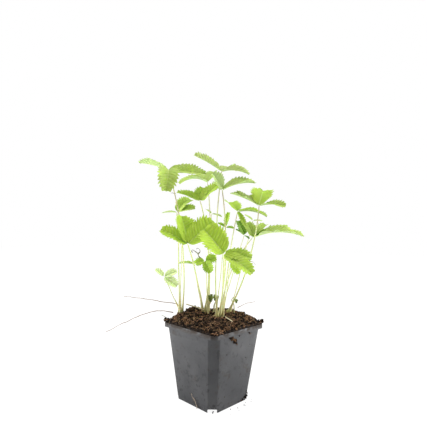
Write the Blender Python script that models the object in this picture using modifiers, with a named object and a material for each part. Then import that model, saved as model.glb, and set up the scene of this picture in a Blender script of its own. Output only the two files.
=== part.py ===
"""Strawberry plant with its soil and its square nursery pot.

Metres, +Z up. The origin is the middle of the pot's underside, and the pot's four sides
face X and Y. The plant is laid out in its own axes, in millimetres: x to the right and
-y to the front as seen from its best side, which is close to the pot's front corner.
"""
import math

import bmesh
import bpy
from mathutils import Vector

# ---------------------------------------------------------------- driving dimensions

MM = 0.001
GAP = 0.3 * MM                 # clearance between pieces that rest against each other
PLANT_TURN = math.radians(44.2)  # turn of the plant's own axes from the pot's

POT_HEIGHT = 91.4 * MM
RIM_HALF = 45.0 * MM           # half of the outer width over the rim
TOP_HALF = 43.3 * MM           # half of the outer width just under the rim
BASE_HALF = 32.7 * MM          # half of the outer width at the base
RIM_DEPTH = 5.4 * MM
WALL = 0.95 * MM
CORNER_TOP = 10.2 * MM         # how far each corner is cut back just under the rim
CORNER_BASE = 8.2 * MM
CORNER_RIM = 6.0 * MM
CORNER_FILLET = 0.24           # radius of a cut corner's two edges, as a share of the cut
INSET = 2 - math.sqrt(2)       # less cut per mm of inset, so that the wall stays even
NOTCH_WIDTH = 11.0 * MM        # drainage notch across each bottom corner
NOTCH_HEIGHT = 4.6 * MM
NOTCH_START = 31.0 * MM        # from the pot's middle to the notch's inner end
NOTCH_LENGTH = 16.0 * MM

SOIL_EDGE = 1.6 * MM           # height of the soil's edge over the rim
SOIL_DOME = 5.5 * MM           # rise of the soil from its edge to the middle
SOIL_HEAPS = (                 # x, y, height, spread in the plant's axes, mm
    (-30, 20, 8.0, 13),
    (24, 28, 5.0, 13),
    (45, 8, 2.5, 12),
)

LEAF_THICKNESS = 0.8 * MM
LEAF_FOLD = math.radians(24)   # how far each half of a leaflet rises from its midrib
HUB_RADIUS = 1.6 * MM          # knot where three leaflets meet their stalk
LEAFLET_START = 1.1 * MM       # distance from the hub's middle to a leaflet's first row
CROWN_SINK = 8.0 * MM          # depth of a crown's foot in the soil
FOOT_LIFT = 0.7                # mm from a crown's top to the middle of a leaning stalk's foot

# Crowns, the woody knots that the stalks grow from: x, y, top, radius in mm.
CROWNS = {
    "main": (5, -6, 102, 8.0),
    "second": (-11, 13, 103, 6.5),
    "left": (-42, 12, 102, 5.5),
    "right": (19, 14, 104, 5.0),
}

# Leaves. Each has its crown, its stalk's foot from the crown's middle, the stalk's bow
# and radius, the hub, and its leaflets, all in mm and degrees in the plant's axes.
# A leaflet is (heading, climb, roll, length, width, bend, twist): heading 0 points
# to +x and 90 to +y, and bend is how far it turns down from its base to its tip.
LEAVES = {
    "top_left": ("left", (2, -1.5), (9, 0), 0.8, (-60, -10, 278), (
        (160, 14, 12, 42, 20, 16, 0), (-86, -44, -8, 48, 26, 100, 0), (10, -4, 46, 47, 22, 6, 0))),
    "high_middle": ("second", (2.5, 3), (4, 4), 0.7, (-12, 22, 268), (
        (140, 20, -10, 27, 18, 15, 0), (-161, -8, -14, 40, 18, 70, 0), (70, 35, 0, 29, 17, 20, 0))),
    "top": ("main", (-1.5, 4.5), (-4, 4), 0.8, (6, 12, 281), (
        (-170, 27, -34, 41, 22, 14, 0), (-13, -8, 26, 37, 20, 45, 0), (64, 14, 0, 34, 20, 25, 0))),
    "under_top": ("main", (1.5, 1), (6, -2), 0.8, (7, -8, 255), (
        (160, 58, 62, 25, 19, 12, 0), (5, 13, 22, 43, 24, 40, 0), (-134, 26, -30, 18, 9, 12, 0))),
    "top_right": ("right", (1, -0.5), (7, -2), 0.9, (53, -5, 237), (
        (172, 22, -16, 39, 19, 18, 0), (74, 34, 8, 38, 30, 30, 0), (-12, 0, -16, 33, 13, 25, 85))),
    "right_middle": ("main", (6, 2.2), (-2, 2), 0.7, (28, 18, 230), (
        (118, 26, 0, 28, 23, 30, 0), (-9, -10, 14, 39, 16, 45, 0), (-53, -52, 20, 25, 8, 25, 0))),
    "far_right": ("main", (5.5, -1.8), (-11, -5), 0.6, (48, 14, 197), (
        (120, 54, -16, 24, 16, 20, 0), (-4, 2, 14, 66, 28, 46, 0), (47, 30, 4, 33, 18, 20, 0))),
    "small_dark": ("main", (3.5, 6), (0, 2), 0.5, (38, 30, 199), (
        (130, 55, -10, 23, 18, 20, 0), (-170, 31, -20, 14, 6, 15, 0), (-61, -22, 0, 12, 5, 20, 0))),
    "middle": ("second", (-0.5, 0), (8, 0), 0.8, (-20, -6, 241), (
        (176, 18, -30, 31, 17, 20, 0), (74, 51, -4, 23, 20, 20, 0), (2, 43, 46, 30, 18, 10, 0))),
    "middle_left": ("left", (-2, 0.8), (1, 0), 0.8, (-50, 12, 227), (
        (168, -4, -8, 20, 7, 18, 0), (-14, 11, 40, 25, 16, 25, 0), (36, 40, 30, 28, 19, 60, 0))),
    "front_left": ("second", (-3, -3.5), (2, -2), 0.9, (-32, -35, 189), (
        (175, 26, -46, 36, 20, 22, 0), (119, 59, 2, 38, 27, 14, 0), (17, 41, 58, 41, 29, 14, 0))),
    "front_middle": ("main", (2, -4), (1, -3), 1.0, (10, -45, 179), (
        (176, 49, -60, 37, 34, 12, 0), (-13, -6, 52, 32, 17, 20, 0), (-35, -27, 40, 42, 19, 26, 0))),
    "small_front": ("second", (3, -3.5), (1, -1), 0.5, (-12, -20, 169), (
        (170, -17, -70, 12, 11, 8, 0), (9, 15, 68, 14, 12, 8, 0), (-51, -45, 55, 18, 14, 8, 0))),
    "small_left": ("second", (-4, 3), (0, 0), 0.5, (-27, 18, 161), (
        (174, -1, -8, 21, 8, 22, 0), (105, 2, 0, 19, 11, 10, 0), (-72, 7, 10, 15, 9, 10, 0))),
    "low_left": ("left", (-2, 4.5), (0, 0), 0.5, (-66, 26, 143), (
        (-171, 38, -44, 15, 10, 12, 0), (7, 21, 44, 18, 13, 12, 0), (-19, -32, 50, 22, 14, 14, 0))),
    "small_middle": ("main", (-2, 7), (0, 0), 0.5, (13, 26, 209), (
        (169, 27, -30, 12, 7, 14, 0), (41, 73, 10, 21, 9, 14, 0), (-10, -7, 26, 11, 7, 14, 0))),
    "small_right": ("main", (6, -4.5), (0, -1), 0.5, (19, -18, 168), (
        (-47, -44, 44, 19, 10, 10, 0), (57, 27, 10, 13, 8, 10, 0), (157, 21, -10, 11, 7, 10, 0))),
    "back_middle": ("second", (4.8, 3), (0, 2), 0.5, (-6, 34, 227), (
        (-16, -17, 12, 15, 6, 14, 0), (134, 26, 0, 12, 6, 10, 0))),
    "back_right": ("right", (3, 3), (0, 0), 0.5, (50, 36, 219), (
        (170, 32, -14, 14, 6, 14, 0), (25, -2, 10, 14, 6, 14, 0))),
    "bud_left": ("left", (0, -4), (0, -1), 0.5, (-41, -10, 186), (
        (-160, 44, -25, 8, 6, 10, 0), (40, 22, 20, 10, 7, 10, 0))),
}

# Dried runners, young shoots and straws: radius, then the points of the route, in mm.
RUNNERS = {
    "runner_low": (0.55, ((-51, 6, 101), (-57, 3, 103), (-66, 0, 104), (-85, -4, 101),
                          (-105, -6, 92), (-131, -6, 79))),
    "runner_high": (0.5, ((-48, 20, 108.5), (-57, 20, 110), (-70, 20, 112), (-87, 20, 114),
                          (-101, 20, 116), (-116, 20, 117))),
    "runner_back": (0.4, ((31, 31, 103.5), (42, 35, 108), (55, 38, 111))),
}
SHOOTS = {
    "shoot_left": (1.3, ((-7, 4, 101), (-7.5, 5, 107), (-6, 4.5, 112), (-4, 3, 116))),
    "shoot_middle": (1.2, ((-0.5, 8.5, 101), (0, 9.5, 107), (0.5, 8.5, 112), (2.5, 7, 116))),
    "shoot_hooked": (0.7, ((25.5, 7, 102.5), (25, 7, 112), (22, 6, 118), (24.5, 6, 121.5),
                           (26.5, 6, 119))),
}
STRAWS = {
    "straw_back": (0.7, ((-35.5, 13.5, 110.3), (-24, 9.5, 108.0), (-12.5, 5, 105.4))),
    "straw_front": (0.6, ((14, -14, 101.5), (18, -19, 100.2), (22, -25, 99))),
}

COLOURS = {                    # base colour, roughness
    "pot": ((0.125, 0.125, 0.130), 0.55),
    "soil": ((0.045, 0.026, 0.015), 0.95),
    "crown": ((0.30, 0.25, 0.08), 0.7),
    "stalk": ((0.62, 0.68, 0.28), 0.5),
    "leaf": ((0.30, 0.55, 0.06), 0.5),
    "runner": ((0.50, 0.34, 0.22), 0.7),
    "straw": ((0.48, 0.38, 0.22), 0.8),
}

# ---------------------------------------------------------------- scene and materials

for old in list(bpy.data.objects):
    bpy.data.objects.remove(old, do_unlink=True)

parts = bpy.data.collections.new("potted_strawberry_plant")
cutters = bpy.data.collections.new("cutters")
bpy.context.scene.collection.children.link(parts)
bpy.context.scene.collection.children.link(cutters)

plant_axes = bpy.data.objects.new("plant_axes", None)
plant_axes.rotation_euler.z = PLANT_TURN
parts.objects.link(plant_axes)


def make_material(name, colour, roughness):
    material = bpy.data.materials.new(name)
    material.use_nodes = True
    shader = material.node_tree.nodes["Principled BSDF"]
    shader.inputs["Base Color"].default_value = (*colour, 1.0)
    shader.inputs["Roughness"].default_value = roughness
    shader.inputs["Metallic"].default_value = 0.0
    return material


def add_object(name, data, finish, collection=parts, parent=None):
    """Links a mesh or curve as a named object, with a material of its own."""
    piece = bpy.data.objects.new(name, data)
    collection.objects.link(piece)
    piece.parent = parent
    colour, roughness = COLOURS[finish]
    data.materials.append(make_material(f"{name}_{finish}", colour, roughness))
    return piece


def hide_tool(tool):
    tool.hide_render = True
    tool.display_type = "WIRE"


def mesh_from(bm, name, smooth=True):
    mesh = bpy.data.meshes.new(name)
    bm.to_mesh(mesh)
    bm.free()
    if smooth:
        mesh.shade_smooth()
        mesh.set_sharp_from_angle(angle=math.radians(40))
    return mesh


def boolean(piece, tool, operation):
    modifier = piece.modifiers.new(f"{operation.lower()}_{tool.name}", "BOOLEAN")
    modifier.operation = operation
    modifier.use_self = operation == "UNION"
    modifier.object = tool


# ---------------------------------------------------------------- pot and soil

def cut_square(half, cut, height):
    """One level ring: a square whose corners are cut off flat, with both edges rounded."""
    fillet = CORNER_FILLET * cut
    corner_points = []
    for middle_x, middle_y, start in ((half - fillet, half - cut, 0), (half - cut, half - fillet, 45)):
        for step in range(3):
            angle = math.radians(start + 22.5 * step)
            corner_points.append((middle_x + fillet * math.cos(angle),
                                  middle_y + fillet * math.sin(angle)))
    ring = []
    for corner in range(4):
        cos, sin = ((1, 0), (0, 1), (-1, 0), (0, -1))[corner]
        ring += [Vector((x * cos - y * sin, x * sin + y * cos, height)) for x, y in corner_points]
    return ring


def loft(name, rings, start, end):
    """Closed solid through rings of equal count, capped by fans to a start and an end point."""
    bm = bmesh.new()
    first = bm.verts.new(start)
    last = bm.verts.new(end)
    loops = [[bm.verts.new(point) for point in ring] for ring in rings]
    count = len(loops[0])
    for i in range(count):
        j = (i + 1) % count
        bm.faces.new((first, loops[0][j], loops[0][i]))
        bm.faces.new((last, loops[-1][i], loops[-1][j]))
        for low, high in zip(loops, loops[1:]):
            bm.faces.new((low[i], low[j], high[j], high[i]))
    bm.normal_update()
    return mesh_from(bm, name)


def add_notch_tools(name, grow):
    """Boxes across the four bottom corners, each grown by a clearance."""
    tools = []
    for corner in range(4):
        bm = bmesh.new()
        bmesh.ops.create_cube(bm, size=1.0)
        size = (NOTCH_LENGTH + 2 * grow, NOTCH_WIDTH + 2 * grow, 2 * (NOTCH_HEIGHT + grow))
        bmesh.ops.scale(bm, vec=size, verts=bm.verts)
        tool_name = f"{name}_notch_{corner}"
        notch = bpy.data.objects.new(tool_name, mesh_from(bm, tool_name, False))
        cutters.objects.link(notch)
        angle = math.radians(45 + 90 * corner)
        distance = NOTCH_START + NOTCH_LENGTH / 2
        notch.location = (distance * math.cos(angle), distance * math.sin(angle), 0)
        notch.rotation_euler.z = angle
        hide_tool(notch)
        tools.append(notch)
    return tools


def add_pot():
    rim_low = POT_HEIGHT - RIM_DEPTH
    inner_rim = RIM_HALF - WALL
    outside = [
        (BASE_HALF - 1.0 * MM, CORNER_BASE - 1.0 * MM, 0.0),
        (BASE_HALF, CORNER_BASE, 1.0 * MM),
        (TOP_HALF, CORNER_TOP, rim_low),
        (RIM_HALF - 0.4 * MM, CORNER_RIM, rim_low),
        (RIM_HALF, CORNER_RIM, rim_low + 0.6 * MM),
        (RIM_HALF, CORNER_RIM, POT_HEIGHT - 0.4 * MM),
        (RIM_HALF - 0.3 * MM, CORNER_RIM, POT_HEIGHT),
    ]
    inside = [
        (inner_rim, CORNER_RIM - INSET * WALL, POT_HEIGHT),
        (inner_rim, CORNER_RIM - INSET * WALL, rim_low + WALL),
        (TOP_HALF - WALL, CORNER_TOP - INSET * WALL, rim_low + 0.6 * WALL),
        (BASE_HALF - WALL, CORNER_BASE - INSET * WALL, 1.0 * MM),
    ]
    rings = [cut_square(*level) for level in outside + inside]
    pot = add_object("pot", loft("pot", rings, (0, 0, 0), (0, 0, 1.0 * MM)), "pot")
    for notch in add_notch_tools("pot", 0.0):
        boolean(pot, notch, "DIFFERENCE")


def soil_height(x, y, reach):
    """Height at a point of the row's axes; reach is 0 in the middle and 1 at the pot's edge."""
    along = (x * math.cos(PLANT_TURN) + y * math.sin(PLANT_TURN)) / MM
    across = (y * math.cos(PLANT_TURN) - x * math.sin(PLANT_TURN)) / MM
    height = POT_HEIGHT + SOIL_EDGE + SOIL_DOME * (1 - reach ** 3)
    for heap_x, heap_y, rise, spread in SOIL_HEAPS:
        away = ((along - heap_x) ** 2 + (across - heap_y) ** 2) / (2 * spread ** 2)
        height += rise * MM * math.exp(-away) * min(1.0, 4 * (1 - reach))
    ripple = math.sin(0.31 * along + 1.0) * math.sin(0.27 * across)
    return height + 0.5 * MM * ripple * (1 - reach)


def add_soil():
    clear = WALL + 0.5 * MM
    lip = POT_HEIGHT + GAP + 0.1 * MM
    sides = [
        (BASE_HALF - clear, CORNER_BASE - INSET * clear, 1.0 * MM + GAP + 0.1 * MM),
        (TOP_HALF - clear, CORNER_TOP - INSET * clear, POT_HEIGHT - RIM_DEPTH),
        (TOP_HALF - clear, CORNER_TOP - INSET * clear, lip),
        (RIM_HALF, CORNER_RIM, lip),
    ]
    rings = [cut_square(*level) for level in sides]
    for reach in (0.985, 0.9, 0.76, 0.6, 0.42, 0.22):
        ring = cut_square(RIM_HALF * reach, CORNER_RIM * reach, 0.0)
        for point in ring:
            point.z = soil_height(point.x, point.y, reach)
        rings.append(ring)
    top = (0, 0, soil_height(0, 0, 0))
    soil = add_object("soil", loft("soil", rings, (0, 0, sides[0][2]), top), "soil")
    for notch in add_notch_tools("soil", GAP):
        boolean(soil, notch, "DIFFERENCE")
    for name, (x, y, top_height, radius) in CROWNS.items():
        bpy.ops.mesh.primitive_cylinder_add(
            vertices=16, radius=(radius + 0.4) * MM, depth=2 * CROWN_SINK,
            location=(x * MM, y * MM, (top_height + 4) * MM))
        socket = bpy.context.object
        socket.name = f"socket_{name}"
        for linked in list(socket.users_collection):
            linked.objects.unlink(socket)
        cutters.objects.link(socket)
        socket.parent = plant_axes
        hide_tool(socket)
        boolean(soil, socket, "DIFFERENCE")


# ---------------------------------------------------------------- crowns

def add_crown(name, x, y, top, radius):
    """Squat turned knob standing in its socket in the soil."""
    foot = top + 4 - CROWN_SINK / MM + GAP / MM
    profile = ((0, top), (radius * 0.8, top), (radius * 0.95, top - 0.8),
               (radius, top - 2.2), (radius * 0.9, foot), (0, foot))
    bm = bmesh.new()
    line = [bm.verts.new((r * MM, 0, z * MM)) for r, z in profile]
    for a, b in zip(line, line[1:]):
        bm.edges.new((a, b))
    crown = add_object(name, mesh_from(bm, name, False), "crown", parent=plant_axes)
    crown.location = (x * MM, y * MM, 0)
    turn = crown.modifiers.new("turn", "SCREW")
    turn.axis = "Z"
    turn.angle = math.tau
    turn.steps = 14
    turn.render_steps = 14
    turn.use_merge_vertices = True
    turn.merge_threshold = 0.00005


# ---------------------------------------------------------------- stalks and leaves

def smooth_route(points, per_span):
    """Points on a Catmull-Rom curve through a short list of route points."""
    route = [Vector(p) for p in points]
    ends = [2 * route[0] - route[1]] + route + [2 * route[-1] - route[-2]]
    result = []
    for k in range(len(route) - 1):
        a, b, c, d = ends[k:k + 4]
        for step in range(per_span):
            t = step / per_span
            result.append(0.5 * (2 * b + (c - a) * t + (2 * a - 5 * b + 4 * c - d) * t ** 2
                                 + (3 * b - a - 3 * c + d) * t ** 3))
    return result + [route[-1]]


def add_tube(name, points, radius, finish, end_scale=1.0):
    """Round stem along points in mm, tapering evenly to end_scale of its radius."""
    curve = bpy.data.curves.new(name, "CURVE")
    curve.dimensions = "3D"
    curve.bevel_depth = radius * MM
    curve.bevel_resolution = 2
    curve.use_fill_caps = True
    spline = curve.splines.new("POLY")
    spline.points.add(len(points) - 1)
    for k, point in enumerate(points):
        spline.points[k].co = (*(Vector(point) * MM), 1.0)
        spline.points[k].radius = 1.0 + (end_scale - 1.0) * k / (len(points) - 1)
    return add_object(name, curve, finish, parent=plant_axes)


def stalk_route(foot, hub, bow, count=8):
    """A bowed line from foot to hub that stops just short of the hub's surface."""
    points = []
    for k in range(count):
        t = k / (count - 1)
        points.append(foot.lerp(hub, t) + bow * (4 * t * (1 - t)))
    inward = (points[-1] - points[-2]).normalized()
    points[-1] = hub - inward * ((HUB_RADIUS + GAP) / MM + 0.05)
    return points


def half_width(along):
    """Leaflet outline: 1 at its widest, a little past the middle, and 0 at both ends."""
    return along ** 0.5 * (1 - along) ** 0.42 / 0.5303


def leaflet_point(leaflet, along, across):
    """Point of a leaflet from its hub, in mm; along runs 0 to 1 and across -1 to 1.

    The midrib is an arc over its chord. The blade rises to both sides of it by the
    fold, and the whole section turns about the midrib by the roll and the twist.
    """
    heading, climb, roll, length, width, bend, twist = leaflet
    heading, climb, roll = (math.radians(v) for v in (heading, climb, roll))
    bend, twist = math.radians(bend), math.radians(twist)
    ahead = Vector((math.cos(heading), math.sin(heading), 0)) * math.cos(climb)
    ahead.z = math.sin(climb)
    level = Vector((-math.sin(heading), math.cos(heading), 0))
    above = ahead.cross(level)
    side = level * math.cos(roll) + above * math.sin(roll)
    above = above * math.cos(roll) - level * math.sin(roll)
    angle = bend * (along - 0.5)
    run = (math.sin(angle) + math.sin(bend / 2)) / bend
    rise = (math.cos(angle) - math.cos(bend / 2)) / bend
    normal = ahead * math.sin(angle) + above * math.cos(angle)
    turned = side * math.cos(twist * along) + normal * math.sin(twist * along)
    normal = normal * math.cos(twist * along) - side * math.sin(twist * along)
    reach = max(0.5 * width * half_width(along), 0.5) * across
    start = LEAFLET_START / MM
    return (ahead * (start + (length - start) * run) + above * (length * rise)
            + turned * (reach * math.cos(LEAF_FOLD)) + normal * (abs(reach) * math.sin(LEAF_FOLD)))


def add_leaf(name, hub, leaflets):
    """Three blades joined to a small hub, as one solid."""
    bm = bmesh.new()
    bmesh.ops.create_uvsphere(bm, u_segments=8, v_segments=6, radius=HUB_RADIUS)
    leaf = add_object(name, mesh_from(bm, name), "leaf", parent=plant_axes)
    leaf.location = Vector(hub) * MM
    for number, leaflet in enumerate(leaflets):
        bm = bmesh.new()
        rows = 6 if leaflet[3] > 20 else 5
        bmesh.ops.create_grid(bm, x_segments=rows, y_segments=2, size=1.0)
        for vert in bm.verts:
            along = 0.5 + 0.5 * vert.co.x
            vert.co = leaflet_point(leaflet, along, vert.co.y) * MM
        blade = bpy.data.objects.new(f"{name}_blade_{number}", mesh_from(bm, f"{name}_blade"))
        cutters.objects.link(blade)
        blade.parent = plant_axes
        blade.location = leaf.location
        skin = blade.modifiers.new("thickness", "SOLIDIFY")
        skin.thickness = LEAF_THICKNESS
        skin.offset = 0.0
        hide_tool(blade)
        boolean(leaf, blade, "UNION")


# ---------------------------------------------------------------- assembly

add_pot()
add_soil()

for crown_name, (x, y, top, radius) in CROWNS.items():
    add_crown(f"crown_{crown_name}", x, y, top, radius)

for place, (crown_name, foot, bow, stalk_radius, hub, leaflets) in LEAVES.items():
    x, y, top, _ = CROWNS[crown_name]
    start = Vector((x + foot[0], y + foot[1], top + FOOT_LIFT))
    route = stalk_route(start, Vector(hub), Vector((*bow, 0)))
    add_tube(f"stalk_{place}", route, stalk_radius, "stalk", end_scale=0.75)
    add_leaf(f"leaf_{place}", hub, leaflets)

for name, (radius, points) in RUNNERS.items():
    add_tube(name, smooth_route(points, 3), radius, "runner", end_scale=0.6)

for name, (radius, points) in SHOOTS.items():
    add_tube(name, smooth_route(points, 3), radius, "stalk", end_scale=0.5)

for name, (radius, points) in STRAWS.items():
    add_tube(name, smooth_route(points, 2), radius, "straw")
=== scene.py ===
import math

import bpy
import numpy as np
from mathutils import Matrix, Vector


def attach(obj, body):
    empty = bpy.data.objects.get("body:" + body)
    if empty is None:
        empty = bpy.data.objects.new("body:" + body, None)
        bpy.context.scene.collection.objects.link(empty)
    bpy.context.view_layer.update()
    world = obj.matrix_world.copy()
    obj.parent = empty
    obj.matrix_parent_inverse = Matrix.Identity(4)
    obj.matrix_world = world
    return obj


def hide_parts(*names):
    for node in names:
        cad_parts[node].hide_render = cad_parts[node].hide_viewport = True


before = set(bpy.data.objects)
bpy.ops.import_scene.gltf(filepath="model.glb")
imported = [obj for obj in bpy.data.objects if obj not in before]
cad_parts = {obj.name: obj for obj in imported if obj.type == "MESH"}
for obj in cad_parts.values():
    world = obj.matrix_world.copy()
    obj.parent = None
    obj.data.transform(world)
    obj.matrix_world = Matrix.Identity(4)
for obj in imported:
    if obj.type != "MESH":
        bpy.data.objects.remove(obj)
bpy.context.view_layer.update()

# ---------------------------------------------------------------------------------- pot
# Thin square nursery pot, injection moulded in dark grey polypropylene. The wall leans
# outwards to a stiff rim, and a drainage notch is cut across each bottom corner.

MM = 0.001
POT_HEIGHT, RIM_DEPTH, WALL = 91.4, 5.4, 0.95            # mm
RIM_HALF, TOP_HALF, BASE_HALF = 45.0, 43.3, 32.7         # half widths
RIM_CORNER, TOP_CORNER, BASE_CORNER = 6.0, 10.2, 8.2      # how far the corners are cut back
CUT_FILLET = 0.24                                        # of the cut, round its two edges
INSET = 2 - math.sqrt(2)                                 # less cut per mm inwards: an even wall
SIDE_STEPS, SOIL_SIDE_STEPS = 14, 26                     # points along a side of a ring
SIDE_BOWS = (0.55, 0.7, 0.5, 0.6)                        # mm outwards: +Y, -X, -Y, +X
NOTCH_WIDTH, NOTCH_HEIGHT, NOTCH_START, NOTCH_END = 11.0, 4.6, 31.0, 47.0
POT_GREY = (0.0270, 0.0275, 0.0305)
POT_SCUFF = (0.045, 0.045, 0.048)
POT_BLOT = (0.017, 0.017, 0.019)
# colour of clinging soil, also used as painted shade on the rim
SOIL_SMEAR_AND_SHADE = (0.030, 0.021, 0.015)
RIM_DIRT_AND_SHADE = (0.0845, 0.0900)                             # heights, m: clean below; soil-coloured above, partly dirt and partly painted shade


def square_rings(halves, cuts, heights, side_steps=SIDE_STEPS, arc_steps=4, cut_steps=3):
    """Level rings of a square with its corners cut off flat, as (ring, point, xyz) in mm.

    Both edges of a cut are rounded by an arc of a share of the cut. The first arc's centre
    is (half - fillet, half - cut) and the second's is its mirror image, and each next
    corner is the last one turned by a right angle.
    """
    halves, cuts, heights = (np.asarray(v, float)[:, None] for v in (halves, cuts, heights))
    fillet = CUT_FILLET * cuts
    turn = np.radians(np.linspace(0, 45, arc_steps))
    x = halves - fillet + fillet * np.cos(turn)
    y = halves - cuts + fillet * np.sin(turn)
    share = np.arange(1, cut_steps) / cut_steps
    middle_x = x[:, -1:] * (1 - share) + y[:, -1:] * share
    middle_y = y[:, -1:] * (1 - share) + x[:, -1:] * share
    across = np.concatenate([x, middle_x, y[:, ::-1]], 1)
    upward = np.concatenate([y, middle_y, x[:, ::-1]], 1)
    share = np.arange(1, side_steps) / side_steps
    start, end = across[:, -1:], -across[:, -1:]
    across = np.concatenate([across, start * (1 - share) + end * share], 1)
    upward = np.concatenate([upward, halves + 0 * share], 1)
    quarters = [(across, upward), (-upward, across), (-across, -upward), (upward, -across)]
    flat = np.concatenate([np.stack(q, -1) for q in quarters], 1)
    level = np.broadcast_to(heights[:, :, None], flat.shape[:2] + (1,))
    return np.concatenate([flat, level], -1)


def skin(name, grids, material, facts=None, bend_angle=35):
    """One mesh object from tubes given as (row, point, xyz) arrays in mm, row frame.

    Every tube closes round on itself and has a flat cap at both ends. A tube whose
    volume comes out negative is turned inside out first, so that all faces look outwards.
    facts gives the mesh named point attributes, each a list of (row, point) arrays.
    """
    points, quads, caps, start = [], [], [], 0
    for tube in grids:
        rows, around = tube.shape[:2]
        index = start + np.arange(rows * around).reshape(rows, around)
        low, high = index[:-1], index[1:]
        quad = np.stack([low, np.roll(low, -1, 1), np.roll(high, -1, 1), high], -1)
        a, b, c, d = (tube.reshape(-1, 3)[quad[..., k].ravel() - start] for k in range(4))
        volume = np.einsum("ij,ij->", a, np.cross(b, c)) + np.einsum("ij,ij->", a, np.cross(c, d))
        ends = [index[0, ::-1], index[-1]]
        if volume < 0:
            quad, ends = quad[..., ::-1], [end[::-1] for end in ends]
        points.append(tube.reshape(-1, 3))
        quads.append(quad.reshape(-1, 4))
        caps += [end.tolist() for end in ends]
        start += rows * around
    mesh = bpy.data.meshes.new(name)
    mesh.from_pydata(np.concatenate(points) * MM, [], np.concatenate(quads).tolist() + caps)
    for fact, values in (facts or {}).items():
        layer = mesh.attributes.new(fact, "FLOAT", "POINT")
        layer.data.foreach_set("value", np.concatenate([v.ravel() for v in values]).astype(np.float32))
    mesh.shade_smooth()
    mesh.set_sharp_from_angle(angle=math.radians(bend_angle))
    mesh.materials.append(material)
    piece = bpy.data.objects.new(name, mesh)
    bpy.context.scene.collection.objects.link(piece)
    return piece


def fit(piece, slot, *nodes):
    """The piece rides on the plant's one body and stands for its CAD nodes. slot is not used."""
    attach(piece, "root")
    if nodes:
        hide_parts(*nodes)


def node(tree, kind, settings=None, **inputs):
    """A shader node with properties from settings. An input is given by its name, or by i
    and its number, and takes a link from a socket, a colour or a plain value."""
    made = tree.nodes.new(kind)
    for key, value in (settings or {}).items():
        setattr(made, key, value)
    for key, value in inputs.items():
        socket = made.inputs[int(key[1:])] if key[0] == "i" and key[1:].isdigit() else made.inputs[key]
        if isinstance(value, bpy.types.NodeSocket):
            tree.links.new(value, socket)
        elif socket.type == "RGBA":
            socket.default_value = (*value, 1.0)
        else:
            socket.default_value = value
    return made


def place_on(tree):
    """Where on the plant the surface is, in metres: a pattern on it stays put."""
    return node(tree, "ShaderNodeTexCoord").outputs["Object"]


def clouds(tree, place, scale, detail=2.0, **more):
    """A cloudy pattern from 0 to 1."""
    return node(tree, "ShaderNodeTexNoise", Vector=place, Scale=scale, Detail=detail, **more).outputs[0]


def combine(tree, kind, a, b=0.0):
    """A Math node's result for one or two values."""
    return node(tree, "ShaderNodeMath", {"operation": kind}, i0=a, i1=b).outputs[0]


def blend_colours(tree, share, low, high):
    """The colour of a Mix node: low where share is 0 and high where it is 1."""
    return node(tree, "ShaderNodeMix", {"data_type": "RGBA"}, i0=share, i6=low, i7=high).outputs[2]


def ramp(tree, value, start, end):
    """0 below start and 1 above end, eased in between; start may lie above end."""
    return node(tree, "ShaderNodeMapRange", {"interpolation_type": "SMOOTHSTEP"},
                i0=value, i1=start, i2=end).outputs["Result"]


def finish(name, roughness, **constants):
    """A new Principled material with plain socket values; gives it with its tree and shader."""
    material = bpy.data.materials.new(name)
    material.use_nodes = True
    shader = material.node_tree.nodes["Principled BSDF"]
    shader.inputs["Roughness"].default_value = roughness
    for key, value in constants.items():
        shader.inputs[key.replace("_", " ")].default_value = value
    return material, material.node_tree, shader


def relief(tree, shader, height, distance):
    """A bump of the given depth in metres on the shader's normal."""
    bump = node(tree, "ShaderNodeBump", Height=height, Distance=distance, Strength=1.0)
    tree.links.new(bump.outputs["Normal"], shader.inputs["Normal"])


def pot_plastic():
    """Satin grey plastic, faintly cloudy, with dry scuffs and specks of clinging soil, and soil-coloured
    patches on the rim that are partly dirt and partly painted shade.
    """
    material, tree, shader = finish("pot_plastic", 0.42, Specular_IOR_Level=0.36)
    place = place_on(tree)
    cloud = clouds(tree, place, 38, 3)
    base = blend_colours(tree, ramp(tree, cloud, 0.35, 0.75), POT_GREY, POT_SCUFF)
    fine = clouds(tree, place, 420, 2)
    specks = ramp(tree, fine, 0.70, 0.76)
    rubbed = clouds(tree, place, 90, 5)
    smears = ramp(tree, rubbed, 0.60, 0.74)
    dirt_and_rim_shade = combine(tree, "MULTIPLY", smears, 0.55)
    dirt_and_rim_shade = combine(tree, "MAXIMUM", specks, dirt_and_rim_shade)
    height = node(tree, "ShaderNodeSeparateXYZ", Vector=place).outputs["Z"]
    patchy = clouds(tree, place, 150, 4)
    # on the rim: soil-coloured patches that are partly dirt and partly painted shade, toning down the rim's
    # bright reflection
    rim = combine(tree, "MULTIPLY", ramp(tree, height, *RIM_DIRT_AND_SHADE), ramp(tree, patchy, 0.30, 0.62))
    dirt_and_rim_shade = combine(tree, "MAXIMUM", dirt_and_rim_shade, rim)
    blots = clouds(tree, place, 170, 3)
    base = blend_colours(tree, ramp(tree, blots, 0.56, 0.66), base, POT_BLOT)
    tree.links.new(blend_colours(tree, dirt_and_rim_shade, base, SOIL_SMEAR_AND_SHADE), shader.inputs["Base Color"])
    rough = node(tree, "ShaderNodeMapRange", i0=dirt_and_rim_shade, i3=0.40, i4=0.85)
    tree.links.new(rough.outputs[0], shader.inputs["Roughness"])
    relief(tree, shader, fine, 0.00004)
    return material


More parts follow.
